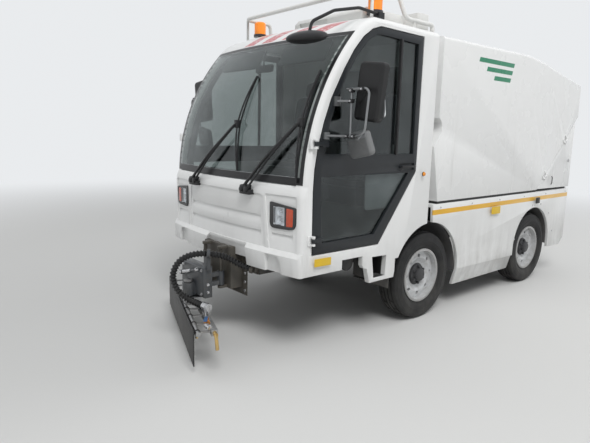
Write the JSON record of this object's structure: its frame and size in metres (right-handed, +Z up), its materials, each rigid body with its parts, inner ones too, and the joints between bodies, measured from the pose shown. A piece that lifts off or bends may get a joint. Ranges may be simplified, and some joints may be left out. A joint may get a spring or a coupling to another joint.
{
  "type": "street washer truck",
  "caption": "Compact cab-forward municipal truck with a closed water tank body and a spray bar on a front carriage for washing streets.",
  "frame": {"origin": "middle of the whole outline at ground level, under the tyres", "axes": "+X forward along the truck, +Y to the truck's left, +Z up"},
  "size_m": [4.9414, 2.3976, 2.6289],
  "materials": {
    "body_white": "satin",
    "tank_white": "satin",
    "dark_frame": "satin",
    "chassis_black": "matte",
    "carriage_grey": "satin",
    "bar_steel": "brushed",
    "rim_grey": "satin",
    "tyre_black": "matte",
    "seal_black": "matte",
    "trim_black": "matte",
    "trim_grey": "matte",
    "clear_glass": "polished",
    "lamp_glass": "polished",
    "beacon_orange": "gloss",
    "guard_white": "satin",
    "seat_fabric": "woven",
    "nozzle_brass": "machined",
    "hose_rubber": "matte",
    "engine_iron": "matte"
  },
  "bodies": {
    "vehicle": {"arch_liners": "trim_grey", "bar_mount": "carriage_grey", "beacons": "beacon_orange", "cab_floor": "trim_grey", "cab_front": "body_white", "cab_rear_wall": "body_white", "cab_rear_window": "clear_glass", "cab_roof": "body_white", "cab_side_left": "body_white", "cab_side_right": "body_white", "chassis_frame": "chassis_black", "dashboard": "trim_grey", "engine": "engine_iron", "front_axle": "chassis_black", "front_mirror": "trim_black", "headlamps": "lamp_glass", "hose_feed": "hose_rubber", "lower_body": "body_white", "pump_unit": "engine_iron", "rear_axle": "chassis_black", "roof_cooler": "body_white", "roof_guard": "guard_white", "rubber_strip": "seal_black", "seats": "seat_fabric", "steering_wheel": "trim_black", "tank_hood": "tank_white", "windscreen": "clear_glass", "wipers": "trim_black"},
    "left_knuckle": {"knuckle_left": "chassis_black"},
    "right_knuckle": {"knuckle_right": "chassis_black"},
    "track_rod": {"tie_rod": "chassis_black"},
    "front_left_wheel": {"rim_front_left": "rim_grey", "tyre_front_left": "tyre_black"},
    "front_right_wheel": {"rim_front_right": "rim_grey", "tyre_front_right": "tyre_black"},
    "rear_left_wheel": {"rim_rear_left": "rim_grey", "tyre_rear_left": "tyre_black"},
    "rear_right_wheel": {"rim_rear_right": "rim_grey", "tyre_rear_right": "tyre_black"},
    "left_door": {"door_left": "dark_frame", "door_glass_left": "clear_glass", "mirrors_left": "trim_black"},
    "right_door": {"door_right": "dark_frame", "door_glass_right": "clear_glass", "mirrors_right": "trim_black"},
    "left_locker": {"side_hatch_left": "tank_white"},
    "right_locker": {"side_hatch_right": "tank_white"},
    "bar_carriage": {"bar_head": "carriage_grey", "hose_drop": "hose_rubber"},
    "bar": {"spray_bar": "bar_steel", "bar_flap": "seal_black", "spray_nozzles": "nozzle_brass"}
  },
  "joints": [
    {"name": "steer_left", "type": "hinge", "parent": "vehicle", "child": "left_knuckle", "pos_m": [0.36027, 0.625, 0.3835], "axis": [0, 0, 1], "range_deg": [-30, 30]},
    {"name": "steer_right", "type": "hinge", "parent": "vehicle", "child": "right_knuckle", "pos_m": [0.36027, -0.625, 0.3835], "axis": [0, 0, 1], "range_deg": [-30, 30]},
    {"name": "track_rod_pivot", "type": "hinge", "parent": "left_knuckle", "child": "track_rod", "pos_m": [0.18527, 0.625, 0.2795], "axis": [0, 0, 1], "range_deg": [-30, 30]},
    {"name": "spin_front_left", "type": "hinge", "parent": "left_knuckle", "child": "front_left_wheel", "pos_m": [0.36027, 0.755, 0.3835], "axis": [0, 1, 0], "continuous": true},
    {"name": "spin_front_right", "type": "hinge", "parent": "right_knuckle", "child": "front_right_wheel", "pos_m": [0.36027, -0.755, 0.3835], "axis": [0, 1, 0], "continuous": true},
    {"name": "spin_rear_left", "type": "hinge", "parent": "vehicle", "child": "rear_left_wheel", "pos_m": [-1.56973, 0.755, 0.3835], "axis": [0, 1, 0], "continuous": true},
    {"name": "spin_rear_right", "type": "hinge", "parent": "vehicle", "child": "rear_right_wheel", "pos_m": [-1.56973, -0.755, 0.3835], "axis": [0, 1, 0], "continuous": true},
    {"name": "open_left_door", "type": "hinge", "parent": "vehicle", "child": "left_door", "pos_m": [1.72027, 0.912, 1.1875], "axis": [0, 0, -1], "range_deg": [0, 75]},
    {"name": "open_right_door", "type": "hinge", "parent": "vehicle", "child": "right_door", "pos_m": [1.72027, -0.912, 1.1875], "axis": [0, 0, 1], "range_deg": [0, 75]},
    {"name": "open_left_locker", "type": "hinge", "parent": "vehicle", "child": "left_locker", "pos_m": [-1.93523, 0.897, 1.3605], "axis": [0.7398, 0, -0.6728], "range_deg": [0, 90]},
    {"name": "open_right_locker", "type": "hinge", "parent": "vehicle", "child": "right_locker", "pos_m": [-1.93523, -0.897, 1.3605], "axis": [-0.7398, 0, 0.6728], "range_deg": [0, 90]},
    {"name": "lift_bar", "type": "slide", "parent": "vehicle", "child": "bar_carriage", "axis": [0, 0, 1], "range_m": [0, 0.15], "deforming": ["hose_feed"]},
    {"name": "swing_bar", "type": "hinge", "parent": "bar_carriage", "child": "bar", "pos_m": [2.17227, 0, 0.386], "axis": [0, 0, 1], "range_deg": [-7.5, 48.5], "deforming": ["hose_drop"]}
  ],
  "couplings": [
    {"joint": "steer_right", "follows": "steer_left", "ratio": 1},
    {"joint": "track_rod_pivot", "follows": "steer_left", "ratio": -1}
  ]
}
